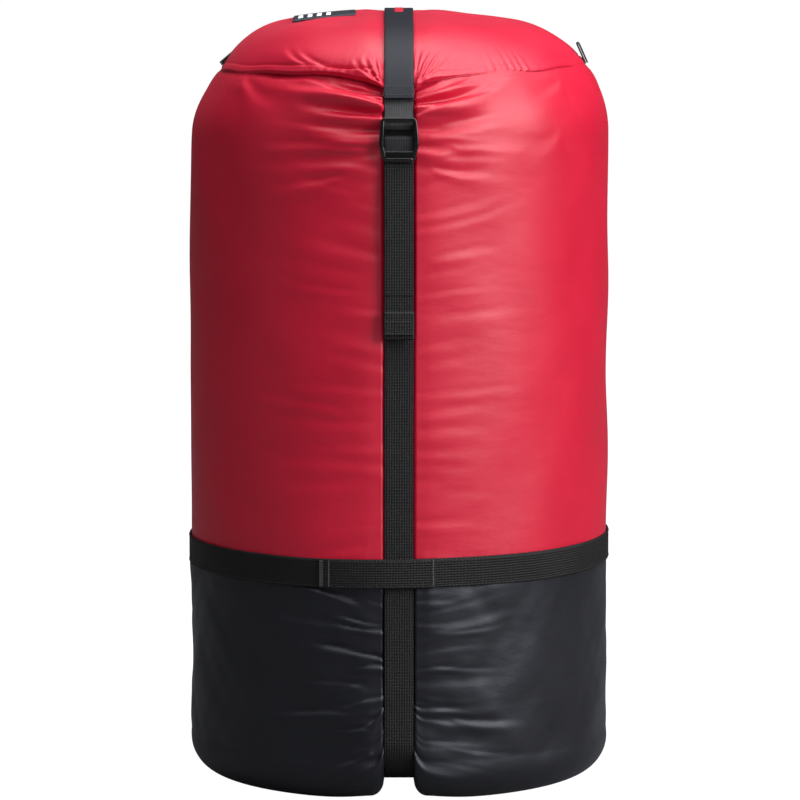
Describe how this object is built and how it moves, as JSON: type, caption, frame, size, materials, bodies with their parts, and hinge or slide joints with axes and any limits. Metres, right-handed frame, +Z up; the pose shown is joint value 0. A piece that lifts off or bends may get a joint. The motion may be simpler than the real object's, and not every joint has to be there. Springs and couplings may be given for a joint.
{
  "type": "sleeping bag in compression sack",
  "caption": "Rolled rectangular sleeping bag packed upright in a round compression sack with a domed lid, ladder-lock straps and a waist band with a carry handle.",
  "frame": {"origin": "on the floor under the middle of the sack", "axes": "+Z up along the sack's axis, front strap towards -Y, +X to the right seen from the front"},
  "size_m": [0.303, 0.3168, 0.55],
  "materials": {
    "body_cloth": "coated nylon, soft sheen",
    "lid_cloth": "coated nylon, soft sheen",
    "base_cloth": "coated nylon, soft sheen",
    "binding": "woven binding tape",
    "webbing": "ribbed polypropylene webbing",
    "thread": "polyester thread",
    "lid_webbing": "smooth flat nylon webbing",
    "strap_print": "flexible print",
    "patch_cloth": "woven patch",
    "tab_webbing": "ribbed polypropylene webbing",
    "buckle_plastic": "moulded acetal, fine grain",
    "eyelet_metal": "satin",
    "bag_shell_cloth": "soft woven polyester",
    "bag_fill": "compressed hollow-fibre wadding",
    "bag_lining_cloth": "brushed polyester",
    "zip_coil": "nylon coil",
    "zip_metal": "satin black"
  },
  "bodies": {
    "sack": {"base_panel": "base_cloth", "lower_panel": "base_cloth", "body_panel": "body_cloth", "base_seam_tape": "binding", "panel_seam_tape": "binding", "waist_band": "webbing", "carry_handle": "webbing", "handle_bartacks": "thread", "compression_strap": "webbing", "bag_zip": "zip_coil", "bag_base_shell": "bag_shell_cloth", "bag_base_fill": "bag_fill", "bag_lining": "bag_lining_cloth", "bag_top_fill": "bag_fill", "bag_top_shell": "bag_shell_cloth"},
    "zip_slider": {"bag_zip_slider": "zip_metal"},
    "zip_pull": {"bag_zip_pull": "zip_metal"},
    "sack_top": {"mouth_collar": "body_cloth", "mouth_hem": "body_cloth", "mouth_eyelet": "eyelet_metal"},
    "lid": {"lid_panel": "lid_cloth", "lid_hem": "lid_cloth", "lid_strap": "lid_webbing", "strap_mark": "strap_print", "lid_patch": "patch_cloth", "front_buckle_loop": "webbing", "back_buckle_loop": "webbing"},
    "left_tab": {"left_tab": "tab_webbing"},
    "right_tab": {"right_tab": "tab_webbing"},
    "front_buckle": {"front_buckle": "buckle_plastic", "front_strap_wrap": "webbing"},
    "front_tail": {"front_tail_strip": "webbing"},
    "front_tail_end": {"front_tail_end": "webbing", "front_tail_stitches": "thread"},
    "back_buckle": {"back_buckle": "buckle_plastic", "back_strap_wrap": "webbing"},
    "back_tail": {"back_tail_strip": "webbing"},
    "back_tail_end": {"back_tail_end": "webbing", "back_tail_stitches": "thread"}
  },
  "joints": [
    {"name": "compress", "type": "slide", "parent": "sack", "child": "sack_top", "axis": [0, 0, -1], "range_m": [0, 0.12], "deforming": ["body_panel", "compression_strap", "bag_zip", "bag_base_shell", "bag_base_fill", "bag_lining", "bag_top_fill", "bag_top_shell"]},
    {"name": "lid_lift", "type": "slide", "parent": "sack_top", "child": "lid", "axis": [0, 0, 1], "range_m": [0, 0.09], "deforming": ["compression_strap"]},
    {"name": "zip_slide", "type": "slide", "parent": "sack", "child": "zip_slider", "axis": [0, 0, -1], "range_m": [0, 0.27]},
    {"name": "zip_pull_swing", "type": "hinge", "parent": "zip_slider", "child": "zip_pull", "pos_m": [0.1305, 0.009, 0.368], "axis": [0, 1, 0], "range_deg": [0, 12]},
    {"name": "left_tab_fold", "type": "hinge", "parent": "lid", "child": "left_tab", "pos_m": [-0.1383, 0, 0.5105], "axis": [0, 1, 0], "range_deg": [-95, 0], "stiffness_Nm_per_rad": 0.006},
    {"name": "right_tab_fold", "type": "hinge", "parent": "lid", "child": "right_tab", "pos_m": [0.1383, 0, 0.5105], "axis": [0, -1, 0], "range_deg": [-75, 25], "stiffness_Nm_per_rad": 0.006},
    {"name": "front_buckle_tilt", "type": "hinge", "parent": "lid", "child": "front_buckle", "pos_m": [0, -0.15185, 0.4751], "axis": [-1, 0, 0], "range_deg": [0, 40], "deforming": ["front_buckle_loop"]},
    {"name": "front_tail_slip", "type": "slide", "parent": "lid", "child": "front_tail", "axis": [0, 0, 1], "range_m": [0, 0.09], "deforming": ["front_tail_strip"]},
    {"name": "front_tail_feed", "type": "slide", "parent": "front_tail", "child": "front_tail_end", "axis": [0, 0, -1], "range_m": [0, 0.12], "deforming": ["front_tail_strip"]},
    {"name": "back_buckle_tilt", "type": "hinge", "parent": "lid", "child": "back_buckle", "pos_m": [0, 0.15185, 0.4751], "axis": [1, 0, 0], "range_deg": [0, 40], "deforming": ["back_buckle_loop"]},
    {"name": "back_tail_slip", "type": "slide", "parent": "lid", "child": "back_tail", "axis": [0, 0, 1], "range_m": [0, 0.09], "deforming": ["back_tail_strip"]},
    {"name": "back_tail_feed", "type": "slide", "parent": "back_tail", "child": "back_tail_end", "axis": [0, 0, -1], "range_m": [0, 0.12], "deforming": ["back_tail_strip"]}
  ],
  "couplings": [
    {"joint": "front_tail_slip", "follows": "lid_lift", "ratio": 1},
    {"joint": "front_tail_feed", "follows": "compress", "ratio": 1},
    {"joint": "back_tail_slip", "follows": "lid_lift", "ratio": 1},
    {"joint": "back_tail_feed", "follows": "compress", "ratio": 1}
  ]
}
